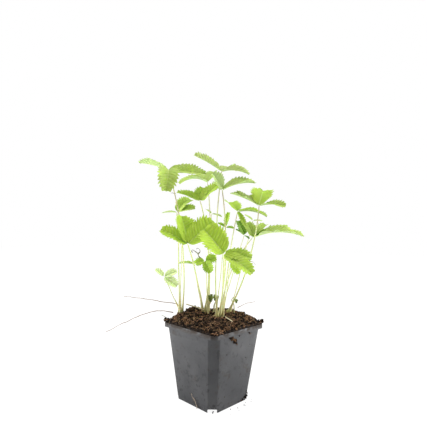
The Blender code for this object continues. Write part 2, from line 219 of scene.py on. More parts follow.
def moulded_pot():
    """The pot's section carried round the square: underside, wall, rim, inner wall, floor.

    The soil pushes each thin side out by a fraction of a millimetre in its middle, in
    proportion to sin(pi * share of side) * sin(pi * share of height) ^ 1.5.
    """
    rim_low, clear = POT_HEIGHT - RIM_DEPTH, RIM_HALF - WALL
    climb = np.linspace(0, 1, 12)[1:-1]
    wall = [(BASE_HALF + (TOP_HALF - BASE_HALF) * t, BASE_CORNER + (TOP_CORNER - BASE_CORNER) * t,
             1.0 + (rim_low - 1.0) * t) for t in climb]
    outer = [(2, 1.5, 0.35), (BASE_HALF - 6, BASE_CORNER - 4, 0.35), (BASE_HALF - 3, 4.6, 0),
             (BASE_HALF - 0.8, BASE_CORNER - 0.8, 0), (BASE_HALF - 0.25, BASE_CORNER - 0.2, 0.25),
             (BASE_HALF, BASE_CORNER, 0.9), *wall,
             (TOP_HALF, TOP_CORNER, rim_low - 0.5), (TOP_HALF + 0.15, TOP_CORNER, rim_low - 0.1),
             (TOP_HALF + 0.5, TOP_CORNER, rim_low), (RIM_HALF - 0.6, RIM_CORNER, rim_low),
             (RIM_HALF - 0.15, RIM_CORNER, rim_low + 0.15), (RIM_HALF, RIM_CORNER, rim_low + 0.6),
             (RIM_HALF, RIM_CORNER, POT_HEIGHT - 0.6),
             (RIM_HALF - 0.12, RIM_CORNER, POT_HEIGHT - 0.15),
             (RIM_HALF - 0.45, RIM_CORNER, POT_HEIGHT)]
    less = INSET * WALL
    inner = [(clear + 0.2, RIM_CORNER - 0.5, POT_HEIGHT - 0.1), (clear, RIM_CORNER - less, POT_HEIGHT - 0.5),
             (clear, RIM_CORNER - less, rim_low + WALL), (TOP_HALF - WALL, TOP_CORNER - less, rim_low + 0.5),
             *[(half - WALL, cut - less, height + 0.5) for half, cut, height in wall[::-1]],
             (BASE_HALF - WALL, BASE_CORNER - less, 1.0), (2, 1.5, 1.0)]
    half, cut, height = np.array(outer + inner).T
    rings = square_rings(half, cut, height)
    count = rings.shape[1] // 4
    corner = count - SIDE_STEPS
    share = np.clip((np.arange(count) - corner) / (count - corner), 0, 1)
    bow = np.tile(np.sin(np.pi * share), 4) * np.repeat(SIDE_BOWS, count)
    bow = bow * np.sin(np.pi * np.clip(rings[..., 2] / POT_HEIGHT, 0, 1)) ** 1.5
    out = np.repeat(np.radians((90, 180, 270, 0)), count)          # each side's own direction
    rings[..., 0] += bow * np.cos(out)
    rings[..., 1] += bow * np.sin(out)
    return skin("pot_shell", [rings], pot_plastic(), bend_angle=38)


def cut_notches(piece, grow=0.0):
    """Takes a round-topped box across each bottom corner out of the piece's mesh."""
    cutters = []
    for corner in range(4):
        angle = math.radians(45 + 90 * corner)
        along = np.array((math.cos(angle), math.sin(angle)))
        across = np.array((-math.sin(angle), math.cos(angle)))
        rows = []
        for height, narrower in ((-2.0, 0), (NOTCH_HEIGHT - 0.8, 0), (NOTCH_HEIGHT - 0.25, 0.25),
                                 (NOTCH_HEIGHT, 0.9)):
            wide = NOTCH_WIDTH / 2 - narrower + grow
            start = NOTCH_START - grow
            ends = ((start, -wide), (NOTCH_END, -wide), (NOTCH_END, wide), (start, wide))
            rows.append([(*(along * a + across * b), height + grow) for a, b in ends])
        cutter = skin(f"notch_{corner}", [np.array(rows)], piece.data.materials[0])
        cut = piece.modifiers.new(cutter.name, "BOOLEAN")
        cut.object = cutter
        cutters.append(cutter)
    bpy.context.view_layer.update()
    shaped = bpy.data.meshes.new_from_object(piece.evaluated_get(bpy.context.evaluated_depsgraph_get()))
    piece.modifiers.clear()
    piece.data = shaped
    shaped.shade_smooth()
    shaped.set_sharp_from_angle(angle=math.radians(38))
    for cutter in cutters:
        bpy.data.objects.remove(cutter)


pot = moulded_pot()
cut_notches(pot)
fit(pot, "pot", "pot")

# --------------------------------------------------------------------------------- soil
# Damp peat and coir potting mix, heaped a little over the rim round the crowns. It is
# loose: clods and bark crumbs lie on it, with pale roots and brown fibres between them.

PLANT_TURN = math.radians(44.2)       # the plant's best side is near the pot's corner
SOIL_EDGE, SOIL_DOME = 1.6, 5.5       # mm over the rim at the edge, and from there up
SOIL_HEAPS = ((-30, 20, 8.0, 13), (24, 28, 5.0, 13), (45, 8, 2.5, 12))
PEAT = (0.008, 0.0050, 0.0035)
LOAM = (0.030, 0.018, 0.011)
BARK = (0.30, 0.16, 0.078)
BRIGHT_FLECK = (0.17, 0.10, 0.055)
FIBRE_DARK, FIBRE_PALE, FIBRE_STAIN = (0.10, 0.045, 0.022), (0.42, 0.27, 0.14), (0.05, 0.028, 0.016)
CRUMBS, FIBRES, CLODS, CURLS = 3600, 620, 80, 170
CURL_DARK, CURL_BROWN = (0.09, 0.040, 0.020), (0.36, 0.19, 0.095)
dice = np.random.default_rng(7)


def to_row(points):
    """Points of the plant's own axes, turned into the row's, in mm."""
    cos, sin = math.cos(PLANT_TURN), math.sin(PLANT_TURN)
    x, y, z = np.moveaxis(np.asarray(points, float), -1, 0)
    return np.stack([x * cos - y * sin, x * sin + y * cos, z], -1)


def waves(points, size, seed, octaves=3):
    """Smooth irregular value from about -1 to 1: sums of sine waves in random directions.

    Each octave has six waves with half the wavelength and 0.55 of the height of the last.
    """
    maker = np.random.default_rng(seed)
    total = np.zeros(points.shape[:-1])
    for octave in range(octaves):
        ways = maker.normal(size=(6, 3))
        ways *= 2 * np.pi * 2 ** octave / size / np.linalg.norm(ways, axis=1)[:, None]
        phases = maker.uniform(0, 2 * np.pi, 6)
        total += 0.55 ** octave * np.sin(points @ ways.T + phases).sum(-1) / 2.6
    return total


def soil_height(x, y, reach):
    """Mean height in mm: rim + edge + dome * (1 - reach^3) + bell-shaped heaps."""
    cos, sin = math.cos(PLANT_TURN), math.sin(PLANT_TURN)
    along, across = x * cos + y * sin, y * cos - x * sin
    height = POT_HEIGHT + SOIL_EDGE + SOIL_DOME * (1 - reach ** 3)
    for heap_x, heap_y, rise, spread in SOIL_HEAPS:
        away = ((along - heap_x) ** 2 + (across - heap_y) ** 2) / (2 * spread ** 2)
        height = height + rise * np.exp(-away) * np.minimum(1.0, 4 * (1 - reach))
    return height


def reach_of(x, y):
    """How far out a place is, as a share of the rim's square."""
    return np.clip((np.abs(x) ** 6 + np.abs(y) ** 6) ** (1 / 6) / RIM_HALF, 0, 1)


def soil_surface(x, y):
    """Height of the lumpy surface: the mean height with clods up to 2 mm on it."""
    reach = reach_of(x, y)
    place = np.stack([x, y, 0 * x], -1)
    lumps = 0.9 * waves(place, 11, 3) + 0.55 * np.abs(waves(place, 4.5, 4))
    return soil_height(x, y, reach) + lumps * np.clip(6 * (1 - reach), 0.25, 1)


def soil_mix():
    """Nearly black peat with brown flecks. The tone attribute makes crumbs lighter."""
    material, tree, shader = finish("potting_soil", 0.95, Specular_IOR_Level=0.15)
    place = place_on(tree)
    tone = node(tree, "ShaderNodeAttribute", {"attribute_name": "tone"}).outputs["Fac"]
    clump = clouds(tree, place, 260, 5, Roughness=0.65)
    dark = blend_colours(tree, ramp(tree, clump, 0.42, 0.66), PEAT, LOAM)
    colour = blend_colours(tree, ramp(tree, tone, 0.45, 1.0), dark, BARK)
    grit = node(tree, "ShaderNodeTexVoronoi", Vector=place, Scale=900).outputs["Distance"]
    flecks = ramp(tree, clouds(tree, place, 700, 2), 0.66, 0.72)
    colour = blend_colours(tree, flecks, colour, BRIGHT_FLECK)
    tree.links.new(colour, shader.inputs["Base Color"])
    relief(tree, shader, combine(tree, "ADD", grit, clump), 0.0006)
    return material


def soil_body(material):
    """The plug inside the pot and the mound over it, as rings from below to the middle."""
    clear, less = WALL + 0.5, INSET * (WALL + 0.5)
    halves = [2, BASE_HALF - clear, BASE_HALF - clear + 3, TOP_HALF - clear, TOP_HALF - clear]
    cuts = [1.5, BASE_CORNER - less, BASE_CORNER - less, TOP_CORNER - less, TOP_CORNER - less]
    heights = [1.4, 1.4, 24, POT_HEIGHT - RIM_DEPTH, POT_HEIGHT + 0.4]
    plug = square_rings(halves, cuts, heights, SOIL_SIDE_STEPS)
    reach = np.linspace(1.0, 0.02, 64) ** 0.9
    top = square_rings(RIM_HALF * reach, RIM_CORNER * reach, 0 * reach, SOIL_SIDE_STEPS)
    edge = 1 - 0.03 * np.clip(waves(top, 9, 11) + 0.35, 0, 1.3) * reach[:, None] ** 8
    top[..., :2] *= edge[..., None]
    top[..., 2] = soil_surface(top[..., 0], top[..., 1])
    top[0, :, 2] = POT_HEIGHT + 0.35
    rings = np.concatenate([plug, top])
    tone = 0.32 * np.clip(waves(rings, 6, 5), 0, 1)
    return skin("soil_body", [rings], material, {"tone": [tone]}, bend_angle=80)


def scatter(count, inner, outer):
    """Random places on the mound, between two shares of the rim's square, in mm."""
    x, y = dice.uniform(-RIM_HALF, RIM_HALF, (2, 8 * count))
    reach = reach_of(x, y)
    kept = np.flatnonzero((reach >= inner) & (reach <= outer))[:count]
    return x[kept], y[kept]


def lumps(places, sizes, tones, material, name):
    """Crumbs: tubes of 4 rings by 6 points whose radius is sin of the row's angle, each
    point pushed in or out at random, then stretched, turned and put at its place."""
    count = len(places)
    angle = np.linspace(0.35, np.pi - 0.35, 4)[:, None]
    turn = np.arange(6) * np.pi / 3
    ball = np.stack([np.sin(angle) * np.cos(turn), np.sin(angle) * np.sin(turn),
                     np.cos(angle) + 0 * turn], -1)
    shape = ball[None] * dice.uniform(0.65, 1.25, (count, 4, 6, 1))
    shape = shape * (sizes[:, None] * dice.uniform(0.55, 1.2, (count, 3)))[:, None, None]
    spin = np.linalg.qr(dice.normal(size=(count, 3, 3)))[0]
    shape = np.einsum("nrpk,nkj->nrpj", shape, spin) + places[:, None, None]
    return skin(name, list(shape), material,
                {"tone": list(np.broadcast_to(tones[:, None, None], (count, 4, 6)))}, bend_angle=25)


def each_tone(tubes, tones):
    """The tone fact of tubes that have one tone each."""
    return {"tone": [np.full(tube.shape[:2], tone) for tube, tone in zip(tubes, tones)]}


soil_look = soil_mix()
soil = soil_body(soil_look)
cut_notches(soil, 0.3)
fit(soil, "soil", "soil")

x, y = scatter(CRUMBS, 0.0, 0.985)
size = dice.lognormal(-0.25, 0.42, len(x)).clip(0.35, 2.4)
height = soil_surface(x, y) + size * dice.uniform(0.0, 0.45, len(x))
tone = np.where(dice.random(len(x)) < 0.13, dice.uniform(0.6, 1.0, len(x)), dice.uniform(0, 0.42, len(x)))
crumbs = lumps(np.stack([x, y, height], -1), size, tone, soil_look, "soil_crumbs")
fit(crumbs, "soil")


def carry(route, radius, around=8, shape=None):
    """A round section carried along a route of points in mm: a tube of rings.

    Each ring lies square to the route's direction there, and keeps its turn from the ring
    before, so the tube does not twist. shape may scale each point of each ring.
    """
    ahead = np.gradient(route, axis=0)
    ahead /= np.linalg.norm(ahead, axis=1)[:, None]
    side = np.zeros_like(route)
    first = np.cross(ahead[0], (0.3, 0.9, 0.31))
    for k in range(len(route)):
        previous = first if k == 0 else side[k - 1]
        side[k] = previous - ahead[k] * (previous @ ahead[k])
        side[k] /= np.linalg.norm(side[k])
    up = np.cross(ahead, side)
    turn = np.linspace(0, 2 * np.pi, around, endpoint=False)
    ring = np.cos(turn)[None, :, None] * side[:, None] + np.sin(turn)[None, :, None] * up[:, None]
    spread = np.broadcast_to(np.asarray(radius, float).reshape(-1, 1), (len(route), around))
    if shape is not None:
        spread = spread * shape
    return route[:, None] + ring * spread[..., None]


def loose_fibres(count):
    """Short curved threads that lie over the clods, arched up between their two ends."""
    x, y = scatter(count, 0.0, 0.97)
    heading = dice.uniform(0, 2 * np.pi, count)
    length = dice.uniform(3, 12, count)
    curl = dice.normal(0, 1.1, count)
    arch = dice.uniform(0.2, 1.6, count)
    thick = dice.uniform(0.13, 0.36, count)
    step = np.linspace(-0.5, 0.5, 8)
    tubes = []
    for k in range(count):
        angle = heading[k] + curl[k] * step
        path_x = x[k] + length[k] * np.cumsum(np.cos(angle)) / 8 - length[k] / 2 * np.cos(heading[k])
        path_y = y[k] + length[k] * np.cumsum(np.sin(angle)) / 8 - length[k] / 2 * np.sin(heading[k])
        limit = RIM_HALF * 0.985
        path_x, path_y = path_x.clip(-limit, limit), path_y.clip(-limit, limit)
        rise = soil_surface(path_x, path_y) + 0.5 + arch[k] * np.cos(np.pi * step)
        route = np.stack([path_x, path_y, rise], -1)
        tubes.append(carry(route, thick[k] * (1.15 - 1.2 * np.abs(step)), 5))
    return tubes


def fibre_look():
    """Dry thread from pale straw to red-brown, by the tone attribute."""
    material, tree, shader = finish("soil_fibre", 0.8, Specular_IOR_Level=0.3)
    tone = node(tree, "ShaderNodeAttribute", {"attribute_name": "tone"}).outputs["Fac"]
    colour = blend_colours(tree, tone, FIBRE_DARK, FIBRE_PALE)
    grain = clouds(tree, place_on(tree), 900)
    colour = blend_colours(tree, ramp(tree, grain, 0.35, 0.7), colour, FIBRE_STAIN)
    tree.links.new(colour, shader.inputs["Base Color"])
    return material


def clods(places, sizes):
    """Rough lumps: balls of 9 rings by 14 points, each point moved along its own direction
    by waves as deep as a third of the lump, then stretched and turned."""
    angle = np.linspace(0.12, np.pi - 0.12, 9)[:, None]
    turn = np.linspace(0, 2 * np.pi, 14, endpoint=False)
    ball = np.stack([np.sin(angle) * np.cos(turn), np.sin(angle) * np.sin(turn),
                     np.cos(angle) + 0 * turn], -1)
    tubes = []
    for number, (place, size) in enumerate(zip(places, sizes)):
        rough = 1 + 0.30 * waves(ball, 1.3, 900 + number)
        spin = np.linalg.qr(dice.normal(size=(3, 3)))[0]
        tubes.append((ball * rough[..., None] * size * dice.uniform(0.6, 1.25, 3)) @ spin + place)
    return tubes


def spill(count, spread, corner):
    """Random places on the soil by one corner of the rim, some just past it, in mm."""
    away = np.abs(dice.normal(0, spread, (count, 2)))
    x = corner[0] * (RIM_HALF + 0.9 - away[:, 0])
    y = corner[1] * (RIM_HALF + 0.9 - away[:, 1])
    past = np.abs(x) + np.abs(y) - (2 * RIM_HALF - RIM_CORNER * 0.8)
    x, y = x - corner[0] * past.clip(0) / 2, y - corner[1] * past.clip(0) / 2
    return np.stack([x, y, POT_HEIGHT + 1.0 + dice.uniform(0, 2.5, count)], -1)


x, y = scatter(CLODS, 0.05, 0.96)
size = dice.uniform(1.0, 2.2, len(x))
places = np.stack([x, y, soil_surface(x, y) + 0.25 * size], -1)
right_spill, left_spill = spill(16, 4.5, (1, 1)), spill(12, 4.0, (-1, -1))
near_spill = spill(8, 6.0, (1, -1)) + (0, 0, -0.8)
places = np.concatenate([places, right_spill, left_spill, near_spill])
size = np.concatenate([size, dice.uniform(0.7, 1.6, len(places) - len(size))])
lumpy = clods(places, size)
count = len(lumpy)
tone = np.where(dice.random(count) < 0.15, dice.uniform(0.4, 0.65, count), dice.uniform(0, 0.35, count))
fit(skin("soil_clods", lumpy, soil_look, each_tone(lumpy, tone), bend_angle=50), "soil")


def coir_curls(places):
    """Thick curled fibres: arcs of a helix, radius 1 to 3 mm, that rise out of the soil."""
    tubes = []
    for place in places:
        step = np.linspace(0, 1, 14)
        turns, size = dice.uniform(0.4, 1.5) * 2 * np.pi, dice.uniform(1.0, 3.0)
        reach, start = dice.uniform(1, 7), dice.uniform(0, 2 * np.pi)
        heading = dice.uniform(0, 2 * np.pi)
        along = reach * (step - 0.5)
        side, up = size * np.cos(start + turns * step), 0.6 * size * np.abs(np.sin(start + turns * step))
        route = np.stack([along * np.cos(heading) - side * np.sin(heading),
                          along * np.sin(heading) + side * np.cos(heading), up], -1)
        tubes.append(carry(place + route, dice.uniform(0.22, 0.5) * (1.1 - 0.8 * step), 6))
    return tubes


threads = loose_fibres(FIBRES)
shade = dice.random(len(threads)) ** 1.4
fit(skin("soil_fibres", threads, fibre_look(), each_tone(threads, shade), bend_angle=80), "soil")

x, y = scatter(CURLS, 0.1, 0.95)
places = np.stack([x, y, soil_surface(x, y) + 0.3], -1)
places = np.concatenate([places, spill(5, 5.0, (1, 1)), spill(4, 4.0, (-1, -1)),
                         spill(7, 9.0, (1, -1))])
curl_look, curl_tree, curl_shader = finish("coir_curl", 0.75, Specular_IOR_Level=0.3)
fleck = clouds(curl_tree, place_on(curl_tree), 500, 3)
curl_tree.links.new(blend_colours(curl_tree, ramp(curl_tree, fleck, 0.35, 0.65),
                                  CURL_DARK, CURL_BROWN), curl_shader.inputs["Base Color"])
relief(curl_tree, curl_shader, fleck, 0.0002)
fit(skin("soil_curls", coir_curls(places), curl_look, bend_angle=80), "soil")

# Crumbs of the mix cling to the pot: some hang from the rim on the right-hand side, and
# more lie in its lowest corner. A pale root hangs on the other side.

POT_CRUMBS = (                          # place on the pot's +X side: along Y, height, size, mm
    (-19, 86, 1.4), (-16.5, 84.5, 1.7), (-14, 83.5, 1.9), (-12, 82, 1.6), (-9.5, 81, 1.8),
    (-7.5, 80, 1.5), (-10, 78, 1.3), (-6, 77, 1.2), (-5, 75.2, 1.0), (15.9, 85, 1.1),
    (18, 83.5, 0.8), (-1.1, 84, 0.7), (-20, 66, 0.5), (14.8, 55, 0.6), (1.6, 48, 0.55),
    (21.7, 4.6, 1.0), (24, 3.6, 1.3), (25.8, 5.5, 1.2), (26, 8.5, 0.9), (25, 11, 0.6),
    (19, 3.0, 0.8), (16.7, 2.0, 0.7), (12, 1.5, 0.5), (8, 30, 0.35), (-9, 58, 0.35), (20, 70, 0.4),
)
ROOT_ON_POT = ((0, -34.4, 17.5), (-0.6, -34.3, 14), (1.2, -33.9, 10.5), (4.5, -33.5, 8),
               (6.2, -33.3, 5.5), (8.6, -33.0, 1.4), (9.5, -34.5, 0.5))
MOULDING_FLASH = ((30.6, -29.8, 0.9), (31.0, -30.6, 1.9), (31.6, -31.0, 3.0), (31.9, -30.2, 3.5),
                  (31.5, -29.6, 3.1))
ROOT_DARK, ROOT_PALE = (0.16, 0.11, 0.075), (0.46, 0.38, 0.29)
along, height, size = np.array(POT_CRUMBS).T
wall_half = BASE_HALF + (TOP_HALF - BASE_HALF) * height / (POT_HEIGHT - RIM_DEPTH)
stuck = clods(np.stack([wall_half + 0.35 * size, along, height], -1), size)
stuck += clods(dice.uniform((30, -34, 0.6), (46, 30, 0.75), (14, 3)), dice.uniform(0.2, 0.5, 14))
tone = dice.uniform(0.1, 0.75, len(stuck))
fit(skin("pot_crumbs", stuck, soil_look, each_tone(stuck, tone), bend_angle=50), "soil")

root_look, root_tree, root_shader = finish("pale_root", 0.7)
grain = clouds(root_tree, place_on(root_tree), 700, 3)
root_tree.links.new(blend_colours(root_tree, grain, ROOT_DARK, ROOT_PALE),
                    root_shader.inputs["Base Color"])
bends, steps = np.array(ROOT_ON_POT), np.linspace(0, 1, 36)
knots = np.linspace(0, 1, len(bends))
root = np.stack([np.interp(steps, knots, bends[:, k]) for k in range(3)], -1)
root[1:-1] = (root[:-2] + root[1:-1] + root[2:]) / 3
branch = root[6:22] + (0.9, -0.35, 1.2)
branch += 0.5 * np.stack([waves(root[6:22], 5, k) for k in (4, 5, 6)], -1)
roots = [carry(root, 0.42 * np.linspace(0.7, 1, 36), 7), carry(branch, 0.18, 5)]
fit(skin("root_on_pot", roots, root_look, bend_angle=80), "soil")
turn = np.linspace(0, 2 * np.pi, 8, endpoint=False)
flash = carry(np.array(MOULDING_FLASH), 0.55, 8, (0.35 + 0.9 * np.abs(np.cos(turn)))[None])
fit(skin("moulding_flash", [flash], pot.data.materials[0], bend_angle=50), "pot")

# ------------------------------------------------------------------------------- crowns
# The four crowns are the short woody stems at soil level. Old leaf bases and papery
# sheaths wrap them, brown below and olive green where the stalks come out.

CROWNS = {"main": (5, -6, 102, 8.0), "second": (-11, 13, 103, 6.5),
          "left": (-42, 12, 102, 5.5), "right": (19, 14, 104, 5.0)}
CROWN_BROWN = (0.16, 0.105, 0.045)
CROWN_OLIVE = (0.38, 0.38, 0.11)


def crown_look():
    """Fibrous tissue, streaked upright, from brown at the soil to olive at the top."""
    material, tree, shader = finish("crown_tissue", 0.75)
    place = place_on(tree)
    streak = node(tree, "ShaderNodeMapping", Vector=place, Scale=(900, 900, 120)).outputs[0]
    grain = clouds(tree, streak, 1, 3)
    height = node(tree, "ShaderNodeSeparateXYZ", Vector=place).outputs["Z"]
    upward = ramp(tree, height, 0.099, 0.106)
    share = combine(tree, "MULTIPLY", upward, ramp(tree, grain, 0.25, 0.6))
    tree.links.new(blend_colours(tree, share, CROWN_BROWN, CROWN_OLIVE), shader.inputs["Base Color"])
    relief(tree, shader, grain, 0.0003)
    return material


def crown_knob(x, y, top, radius):
    """A dome whose radius is fluted round it: r * (1 + 0.12 sin 5a + 0.07 sin 9a)."""
    angle = np.linspace(0, 2 * np.pi, 40, endpoint=False)
    share = np.linspace(0, 1, 14)
    out = 0.92 * radius * np.sqrt(np.clip(1 - share ** 3.2, 0.0004, 1))
    flute = 1 + 0.12 * np.sin(5 * angle + x) + 0.07 * np.sin(9 * angle + y)
    rise = top - 7 + 7.5 * share
    rings = np.stack([x + (out[:, None] * flute) * np.cos(angle), y + (out[:, None] * flute) * np.sin(angle),
                      rise[:, None] + 0 * angle], -1)
    return to_row(rings)


crown_tissue = crown_look()
for name, crown in CROWNS.items():
    knob = skin(f"crown_knob_{name}", [crown_knob(*crown)], crown_tissue, bend_angle=70)
    fit(knob, "crown", f"crown_{name}")

# ------------------------------------------------------------------------------- stalks
# One long leaf stalk per leaf: pale yellow-green, a millimetre or two thick, finely
# hairy and shallowly grooved, sheathed where it leaves its crown.

# Leaf: crown, foot from the crown's middle, bow, stalk radius, hub, then its leaflets as
# heading, climb, roll, length, width, bend and twist, in mm and degrees.
LEAVES = {
    "top_left": ("left", (2, -1.5), (9, 0), 0.8, (-60, -10, 278), (
        (160, 14, 12, 42, 20, 16, 0), (-86, -44, -8, 48, 26, 100, 0), (10, -4, 46, 47, 22, 6, 0))),
    "high_middle": ("second", (2.5, 3), (4, 4), 0.7, (-12, 22, 268), (
        (140, 20, -10, 27, 18, 15, 0), (-161, -8, -14, 40, 18, 70, 0), (70, 35, 0, 29, 17, 20, 0))),
    "top": ("main", (-1.5, 4.5), (-4, 4), 0.8, (6, 12, 281), (
        (-170, 27, -34, 41, 22, 14, 0), (-13, -8, 26, 37, 20, 45, 0), (64, 14, 0, 34, 20, 25, 0))),
    "under_top": ("main", (1.5, 1), (6, -2), 0.8, (7, -8, 255), (
        (160, 58, 62, 25, 19, 12, 0), (5, 13, 22, 43, 24, 40, 0), (-134, 26, -30, 18, 9, 12, 0))),
    "top_right": ("right", (1, -0.5), (7, -2), 0.9, (53, -5, 237), (
        (172, 22, -16, 39, 19, 18, 0), (74, 34, 8, 38, 30, 30, 0), (-12, 0, -16, 33, 13, 25, 85))),
    "right_middle": ("main", (6, 2.2), (-2, 2), 0.7, (28, 18, 230), (
        (118, 26, 0, 28, 23, 30, 0), (-9, -10, 14, 39, 16, 45, 0), (-53, -52, 20, 25, 8, 25, 0))),
    "far_right": ("main", (5.5, -1.8), (-11, -5), 0.6, (48, 14, 197), (
        (120, 54, -16, 24, 16, 20, 0), (-4, 2, 14, 66, 28, 46, 0), (47, 30, 4, 33, 18, 20, 0))),
    "small_dark": ("main", (3.5, 6), (0, 2), 0.5, (38, 30, 199), (
        (130, 55, -10, 23, 18, 20, 0), (-170, 31, -20, 14, 6, 15, 0), (-61, -22, 0, 12, 5, 20, 0))),
    "middle": ("second", (-0.5, 0), (8, 0), 0.8, (-20, -6, 241), (
        (176, 18, -30, 31, 17, 20, 0), (74, 51, -4, 23, 20, 20, 0), (2, 43, 46, 30, 18, 10, 0))),
    "middle_left": ("left", (-2, 0.8), (1, 0), 0.8, (-50, 12, 227), (
        (168, -4, -8, 20, 7, 18, 0), (-14, 11, 40, 25, 16, 25, 0), (36, 40, 30, 28, 19, 60, 0))),
    "front_left": ("second", (-3, -3.5), (2, -2), 0.9, (-32, -35, 189), (
        (175, 26, -46, 36, 20, 22, 0), (119, 59, 2, 38, 27, 14, 0), (17, 41, 58, 41, 29, 14, 0))),
    "front_middle": ("main", (2, -4), (1, -3), 1.0, (10, -45, 179), (
        (176, 49, -60, 37, 34, 12, 0), (-13, -6, 52, 32, 17, 20, 0), (-35, -27, 40, 42, 19, 26, 0))),
    "small_front": ("second", (3, -3.5), (1, -1), 0.5, (-12, -20, 169), (
        (170, -17, -70, 12, 11, 8, 0), (9, 15, 68, 14, 12, 8, 0), (-51, -45, 55, 18, 14, 8, 0))),
    "small_left": ("second", (-4, 3), (0, 0), 0.5, (-27, 18, 161), (
        (174, -1, -8, 21, 8, 22, 0), (105, 2, 0, 19, 11, 10, 0), (-72, 7, 10, 15, 9, 10, 0))),
    "low_left": ("left", (-2, 4.5), (0, 0), 0.5, (-66, 26, 143), (
        (-171, 38, -44, 15, 10, 12, 0), (7, 21, 44, 18, 13, 12, 0), (-19, -32, 50, 22, 14, 14, 0))),
    "small_middle": ("main", (-2, 7), (0, 0), 0.5, (13, 26, 209), (
        (169, 27, -30, 12, 7, 14, 0), (41, 73, 10, 21, 9, 14, 0), (-10, -7, 26, 11, 7, 14, 0))),
    "small_right": ("main", (6, -4.5), (0, -1), 0.5, (19, -18, 168), (
        (-47, -44, 44, 19, 10, 10, 0), (57, 27, 10, 13, 8, 10, 0), (157, 21, -10, 11, 7, 10, 0))),
    "back_middle": ("second", (4.8, 3), (0, 2), 0.5, (-6, 34, 227), (
        (-16, -17, 12, 15, 6, 14, 0), (134, 26, 0, 12, 6, 10, 0))),
    "back_right": ("right", (3, 3), (0, 0), 0.5, (50, 36, 219), (
        (170, 32, -14, 14, 6, 14, 0), (25, -2, 10, 14, 6, 14, 0))),
    "bud_left": ("left", (0, -4), (0, -1), 0.5, (-41, -10, 186), (
        (-160, 44, -25, 8, 6, 10, 0), (40, 22, 20, 10, 7, 10, 0))),
}
STALK_PALE, STALK_STREAK = (0.60, 0.66, 0.27), (0.48, 0.58, 0.18)
HAIR_DULL, HAIR_SILVER = (0.68, 0.66, 0.50), (0.86, 0.84, 0.72)
STALK_OLIVE = (0.42, 0.385, 0.17)
STALK_BLUSH = (0.43, 0.39, 0.20)
HAIRS_PER_MM = 3.0
STALK_POINTS = 40                      # along a stalk's route
SHEATH_SWELL, SHEATH_REACH = 1.1, 9    # mm added to the radius at the foot, and how far up


def stalk_look():
    """Pale green skin, streaked lengthwise and more olive towards the crown."""
    material, tree, shader = finish("stalk_skin", 0.5, Subsurface_Weight=0.15, Subsurface_Scale=0.001)
    place = place_on(tree)
    height = node(tree, "ShaderNodeSeparateXYZ", Vector=place).outputs["Z"]
    lift = ramp(tree, height, 0.100, 0.150)
    streak = node(tree, "ShaderNodeMapping", Vector=place, Scale=(700, 700, 60)).outputs[0]
    grain = clouds(tree, streak, 1, 2)
    pale = blend_colours(tree, ramp(tree, grain, 0.4, 0.75), STALK_PALE, STALK_STREAK)
    blush = combine(tree, "MULTIPLY", ramp(tree, height, 0.165, 0.235),
                    ramp(tree, clouds(tree, place, 45), 0.35, 0.6))
    pale = blend_colours(tree, blush, pale, STALK_BLUSH)
    tree.links.new(blend_colours(tree, lift, STALK_OLIVE, pale), shader.inputs["Base Color"])
    relief(tree, shader, grain, 0.0001)
    return material


def stalk_route(crown, foot, bow, hub):
    """Straight line from foot to hub plus bow * 4t(1 - t), with a faint waver."""
    x, y, top, _ = CROWNS[crown]
    start, end = np.array((x + foot[0], y + foot[1], top + 0.7)), np.array(hub, float)
    t = np.linspace(-0.02, 1, STALK_POINTS)[:, None]
    waver = 0.5 * np.sin(np.pi * np.clip(t, 0, 1)) ** 2 * np.sin(7 * t + x) * np.array((1, 0.6, 0))
    return start + (end - start) * t + np.array((*bow, 0)) * (4 * t * (1 - t)) + waver


def stalk_tube(route, radius):
    """A grooved round stem that thins evenly to 0.78 of its radius at the top, plus the
    sheath round its foot: swell * exp(-(risen / reach)^1.5)."""
    risen = np.linalg.norm(route - route[0], axis=1)
    share = risen / risen[-1]
    thick = radius * (1.12 - 0.34 * share) + SHEATH_SWELL * np.exp(-(risen / SHEATH_REACH) ** 1.5)
    thick[-2:] *= (1.05, 0.7)
    turn = np.linspace(0, 2 * np.pi, 12, endpoint=False)
    groove = 1 - 0.14 * np.exp(-((turn - np.pi / 2) / 0.45) ** 2)
    return carry(route, thick, 12, groove[None])


def fine_hairs(routes, radii):
    """Spiky hairs that stand out from the stalks: thin three-sided cones about 1 mm long."""
    hairs = []
    for route, radius in zip(routes, radii):
        count = int(HAIRS_PER_MM * np.linalg.norm(np.diff(route, axis=0), axis=1).sum())
        spot = dice.uniform(2, len(route) - 3, count)
        low = spot.astype(int)
        base = route[low] + (route[low + 1] - route[low]) * (spot - low)[:, None]
        along = route[low + 1] - route[low]
        along /= np.linalg.norm(along, axis=1)[:, None]
        out = dice.normal(size=(count, 3))
        out -= along * np.einsum("ij,ij->i", out, along)[:, None]
        out /= np.linalg.norm(out, axis=1)[:, None]
        lean = out + along * dice.uniform(-0.1, 0.7, (count, 1))
        lean /= np.linalg.norm(lean, axis=1)[:, None]
        side = np.cross(lean, along)
        side /= np.linalg.norm(side, axis=1)[:, None]
        over = np.cross(side, lean)
        turn = np.arange(3) * 2 * np.pi / 3
        ring = np.cos(turn)[:, None] * side[:, None] + np.sin(turn)[:, None] * over[:, None]
        foot = (base + out * radius * 0.8)[:, None] + 0.05 * ring
        tip = (base + lean * (radius + dice.uniform(0.5, 1.1, (count, 1))))[:, None] + 0.018 * ring
        hairs += list(np.stack([foot, tip], 1))
    return hairs


